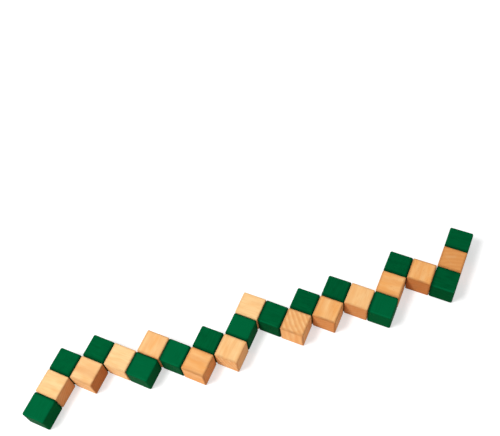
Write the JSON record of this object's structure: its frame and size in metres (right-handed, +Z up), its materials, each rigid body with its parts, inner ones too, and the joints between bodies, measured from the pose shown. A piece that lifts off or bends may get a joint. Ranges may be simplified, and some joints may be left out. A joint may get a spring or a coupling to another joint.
{
  "type": "snake cube puzzle",
  "caption": "Chain of small wooden cubes, alternately green and natural, strung on elastic through drilled bores; lies flat as a staircase and folds up into a solid cube.",
  "frame": {"origin": "on the table, under the middle of the unrolled chain's outline", "axes": "+X along the chain's sideways steps, +Y along its upward steps, +Z up from the table"},
  "size_m": [0.2798, 0.2798, 0.0198],
  "materials": {
    "green_paint": "satin green paint over wood",
    "bare_wood": "sanded natural wood",
    "elastic": "covered elastic cord"
  },
  "bodies": {
    "cubelet_01": {"cubelet_01_end": "green_paint", "elastic_01": "elastic", "knot_first": "elastic", "plug_first": "green_paint"},
    "cubelet_02": {"cubelet_02_straight": "bare_wood", "elastic_02": "elastic"},
    "cubelet_03": {"cubelet_03_corner": "green_paint", "elastic_03": "elastic"},
    "cubelet_04": {"cubelet_04_corner": "bare_wood", "elastic_04": "elastic"},
    "cubelet_05": {"cubelet_05_corner": "green_paint", "elastic_05": "elastic"},
    "cubelet_06": {"cubelet_06_straight": "bare_wood", "elastic_06": "elastic"},
    "cubelet_07": {"cubelet_07_corner": "green_paint", "elastic_07": "elastic"},
    "cubelet_08": {"cubelet_08_corner": "bare_wood", "elastic_08": "elastic"},
    "cubelet_09": {"cubelet_09_straight": "green_paint", "elastic_09": "elastic"},
    "cubelet_10": {"cubelet_10_corner": "bare_wood", "elastic_10": "elastic"},
    "cubelet_11": {"cubelet_11_corner": "green_paint", "elastic_11": "elastic"},
    "cubelet_12": {"cubelet_12_corner": "bare_wood", "elastic_12": "elastic"},
    "cubelet_13": {"cubelet_13_straight": "green_paint", "elastic_13": "elastic"},
    "cubelet_14": {"cubelet_14_corner": "bare_wood", "elastic_14": "elastic"},
    "cubelet_15": {"cubelet_15_straight": "green_paint", "elastic_15": "elastic"},
    "cubelet_16": {"cubelet_16_corner": "bare_wood", "elastic_16": "elastic"},
    "cubelet_17": {"cubelet_17_corner": "green_paint", "elastic_17": "elastic"},
    "cubelet_18": {"cubelet_18_corner": "bare_wood", "elastic_18": "elastic"},
    "cubelet_19": {"cubelet_19_corner": "green_paint", "elastic_19": "elastic"},
    "cubelet_20": {"cubelet_20_straight": "bare_wood", "elastic_20": "elastic"},
    "cubelet_21": {"cubelet_21_corner": "green_paint", "elastic_21": "elastic"},
    "cubelet_22": {"cubelet_22_straight": "bare_wood", "elastic_22": "elastic"},
    "cubelet_23": {"cubelet_23_corner": "green_paint", "elastic_23": "elastic"},
    "cubelet_24": {"cubelet_24_straight": "bare_wood", "elastic_24": "elastic"},
    "cubelet_25": {"cubelet_25_corner": "green_paint", "elastic_25": "elastic"},
    "cubelet_26": {"cubelet_26_straight": "bare_wood", "elastic_26": "elastic"},
    "cubelet_27": {"cubelet_27_end": "green_paint", "elastic_27": "elastic", "knot_last": "elastic", "plug_last": "green_paint"}
  },
  "joints": [
    {"name": "turn_01_02", "type": "hinge", "parent": "cubelet_02", "child": "cubelet_01", "pos_m": [-0.13, -0.12, 0.0099], "axis": [0, -1, 0], "range_deg": [-180, 180]},
    {"name": "turn_02_03", "type": "hinge", "parent": "cubelet_03", "child": "cubelet_02", "pos_m": [-0.13, -0.1, 0.0099], "axis": [0, -1, 0], "range_deg": [-180, 180]},
    {"name": "turn_03_04", "type": "hinge", "parent": "cubelet_04", "child": "cubelet_03", "pos_m": [-0.12, -0.09, 0.0099], "axis": [-1, 0, 0], "range_deg": [-180, 180]},
    {"name": "turn_04_05", "type": "hinge", "parent": "cubelet_05", "child": "cubelet_04", "pos_m": [-0.11, -0.08, 0.0099], "axis": [0, -1, 0], "range_deg": [-270, 90]},
    {"name": "turn_05_06", "type": "hinge", "parent": "cubelet_06", "child": "cubelet_05", "pos_m": [-0.1, -0.07, 0.0099], "axis": [-1, 0, 0], "range_deg": [-180, 180]},
    {"name": "turn_06_07", "type": "hinge", "parent": "cubelet_07", "child": "cubelet_06", "pos_m": [-0.08, -0.07, 0.0099], "axis": [-1, 0, 0], "range_deg": [-90, 270]},
    {"name": "turn_07_08", "type": "hinge", "parent": "cubelet_08", "child": "cubelet_07", "pos_m": [-0.07, -0.06, 0.0099], "axis": [0, -1, 0], "range_deg": [-180, 180]},
    {"name": "turn_08_09", "type": "hinge", "parent": "cubelet_09", "child": "cubelet_08", "pos_m": [-0.06, -0.05, 0.0099], "axis": [-1, 0, 0], "range_deg": [-270, 90]},
    {"name": "turn_09_10", "type": "hinge", "parent": "cubelet_10", "child": "cubelet_09", "pos_m": [-0.04, -0.05, 0.0099], "axis": [-1, 0, 0], "range_deg": [-180, 180]},
    {"name": "turn_10_11", "type": "hinge", "parent": "cubelet_11", "child": "cubelet_10", "pos_m": [-0.03, -0.04, 0.0099], "axis": [0, -1, 0], "range_deg": [-180, 180]},
    {"name": "turn_11_12", "type": "hinge", "parent": "cubelet_12", "child": "cubelet_11", "pos_m": [-0.02, -0.03, 0.0099], "axis": [-1, 0, 0], "range_deg": [-270, 90]},
    {"name": "turn_12_13", "type": "hinge", "parent": "cubelet_13", "child": "cubelet_12", "pos_m": [-0.01, -0.02, 0.0099], "axis": [0, -1, 0], "range_deg": [-270, 90]},
    {"name": "turn_13_14", "type": "hinge", "parent": "cubelet_14", "child": "cubelet_13", "pos_m": [-0.01, 0, 0.0099], "axis": [0, -1, 0], "range_deg": [-180, 180]},
    {"name": "turn_14_15", "type": "hinge", "parent": "cubelet_15", "child": "cubelet_14", "pos_m": [0, 0.01, 0.0099], "axis": [-1, 0, 0], "range_deg": [-270, 90]},
    {"name": "turn_15_16", "type": "hinge", "parent": "cubelet_15", "child": "cubelet_16", "pos_m": [0.02, 0.01, 0.0099], "axis": [1, 0, 0], "range_deg": [-270, 90]},
    {"name": "turn_16_17", "type": "hinge", "parent": "cubelet_16", "child": "cubelet_17", "pos_m": [0.03, 0.02, 0.0099], "axis": [0, 1, 0], "range_deg": [-270, 90]},
    {"name": "turn_17_18", "type": "hinge", "parent": "cubelet_17", "child": "cubelet_18", "pos_m": [0.04, 0.03, 0.0099], "axis": [1, 0, 0], "range_deg": [0, 360]},
    {"name": "turn_18_19", "type": "hinge", "parent": "cubelet_18", "child": "cubelet_19", "pos_m": [0.05, 0.04, 0.0099], "axis": [0, 1, 0], "range_deg": [-180, 180]},
    {"name": "turn_19_20", "type": "hinge", "parent": "cubelet_19", "child": "cubelet_20", "pos_m": [0.06, 0.05, 0.0099], "axis": [1, 0, 0], "range_deg": [-270, 90]},
    {"name": "turn_20_21", "type": "hinge", "parent": "cubelet_20", "child": "cubelet_21", "pos_m": [0.08, 0.05, 0.0099], "axis": [1, 0, 0], "range_deg": [-270, 90]},
    {"name": "turn_21_22", "type": "hinge", "parent": "cubelet_21", "child": "cubelet_22", "pos_m": [0.09, 0.06, 0.0099], "axis": [0, 1, 0], "range_deg": [-90, 270]},
    {"name": "turn_22_23", "type": "hinge", "parent": "cubelet_22", "child": "cubelet_23", "pos_m": [0.09, 0.08, 0.0099], "axis": [0, 1, 0], "range_deg": [-180, 180]},
    {"name": "turn_23_24", "type": "hinge", "parent": "cubelet_23", "child": "cubelet_24", "pos_m": [0.1, 0.09, 0.0099], "axis": [1, 0, 0], "range_deg": [-270, 90]},
    {"name": "turn_24_25", "type": "hinge", "parent": "cubelet_24", "child": "cubelet_25", "pos_m": [0.12, 0.09, 0.0099], "axis": [1, 0, 0], "range_deg": [-270, 90]},
    {"name": "turn_25_26", "type": "hinge", "parent": "cubelet_25", "child": "cubelet_26", "pos_m": [0.13, 0.1, 0.0099], "axis": [0, 1, 0], "range_deg": [-180, 180]},
    {"name": "turn_26_27", "type": "hinge", "parent": "cubelet_26", "child": "cubelet_27", "pos_m": [0.13, 0.12, 0.0099], "axis": [0, 1, 0], "range_deg": [-180, 180]}
  ]
}
